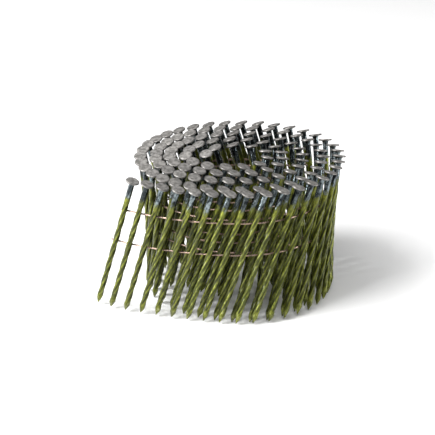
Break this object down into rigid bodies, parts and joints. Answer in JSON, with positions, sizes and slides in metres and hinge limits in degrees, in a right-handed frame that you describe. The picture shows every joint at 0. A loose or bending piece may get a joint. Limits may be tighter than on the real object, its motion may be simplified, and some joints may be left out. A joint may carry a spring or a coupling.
{
  "type": "collated nail coil",
  "caption": "Round coil of leaning screw-shank nails joined by two thin welded wires, with a free lead end that unwinds into a pneumatic coil nailer.",
  "frame": {"origin": "the axis of the empty core, on the plane that the nail points stand on", "axes": "+Z along the coil's axis from the points to the heads, -Y towards the front, where the lead end leaves the coil, +X to the right; the free end of the strip is at the front left"},
  "size_m": [0.1198, 0.1082, 0.0687],
  "materials": {
    "coated_nail": "steel with a yellow-green vinyl coat below a bare ribbed neck and head",
    "collating_wire": "drawn steel wire with a thin copper wash"
  },
  "bodies": {
    "coil": {"turn_1_nails": "coated_nail", "turn_2_nails": "coated_nail", "turn_3_nails": "coated_nail", "turn_4_nails": "coated_nail", "turn_5_nails": "coated_nail", "upper_wire": "collating_wire", "lower_wire": "collating_wire"},
    "link_1": {"lead_nail_1": "coated_nail", "link_wires_1": "collating_wire"},
    "link_2": {"lead_nail_2": "coated_nail", "link_wires_2": "collating_wire"},
    "link_3": {"lead_nail_3": "coated_nail", "link_wires_3": "collating_wire"},
    "link_4": {"lead_nail_4": "coated_nail", "link_wires_4": "collating_wire"},
    "link_5": {"lead_nail_5": "coated_nail", "link_wires_5": "collating_wire"},
    "link_6": {"lead_nail_6": "coated_nail", "link_wires_6": "collating_wire"},
    "link_7": {"lead_nail_7": "coated_nail", "link_wires_7": "collating_wire"},
    "link_8": {"lead_nail_8": "coated_nail", "link_wires_8": "collating_wire"}
  },
  "joints": [
    {"name": "bend_1", "type": "hinge", "parent": "link_2", "child": "link_1", "pos_m": [-0.04965, -0.03462, 0.04314], "axis": [0.2702, -0.1446, 0.9519], "range_deg": [-4, 18]},
    {"name": "bend_2", "type": "hinge", "parent": "link_3", "child": "link_2", "pos_m": [-0.04283, -0.03855, 0.04317], "axis": [0.2739, -0.1364, 0.952], "range_deg": [-4, 18]},
    {"name": "bend_3", "type": "hinge", "parent": "link_4", "child": "link_3", "pos_m": [-0.03571, -0.04192, 0.0432], "axis": [0.274, -0.1377, 0.9518], "range_deg": [-4, 18]},
    {"name": "bend_4", "type": "hinge", "parent": "link_5", "child": "link_4", "pos_m": [-0.02835, -0.04473, 0.04321], "axis": [0.2756, -0.1401, 0.951], "range_deg": [-4, 18]},
    {"name": "bend_5", "type": "hinge", "parent": "link_6", "child": "link_5", "pos_m": [-0.02079, -0.04696, 0.04319], "axis": [0.2812, -0.134, 0.9502], "range_deg": [-3, 18]},
    {"name": "bend_6", "type": "hinge", "parent": "link_7", "child": "link_6", "pos_m": [-0.0131, -0.04862, 0.04319], "axis": [0.2897, -0.1165, 0.95], "range_deg": [-2, 18]},
    {"name": "bend_7", "type": "hinge", "parent": "link_8", "child": "link_7", "pos_m": [-0.00531, -0.04968, 0.04319], "axis": [0.2981, -0.0928, 0.95], "range_deg": [-1, 18]},
    {"name": "bend_8", "type": "hinge", "parent": "coil", "child": "link_8", "pos_m": [0.00248, -0.05001, 0.04319], "axis": [0.3063, -0.0576, 0.9502], "range_deg": [0, 18]}
  ]
}
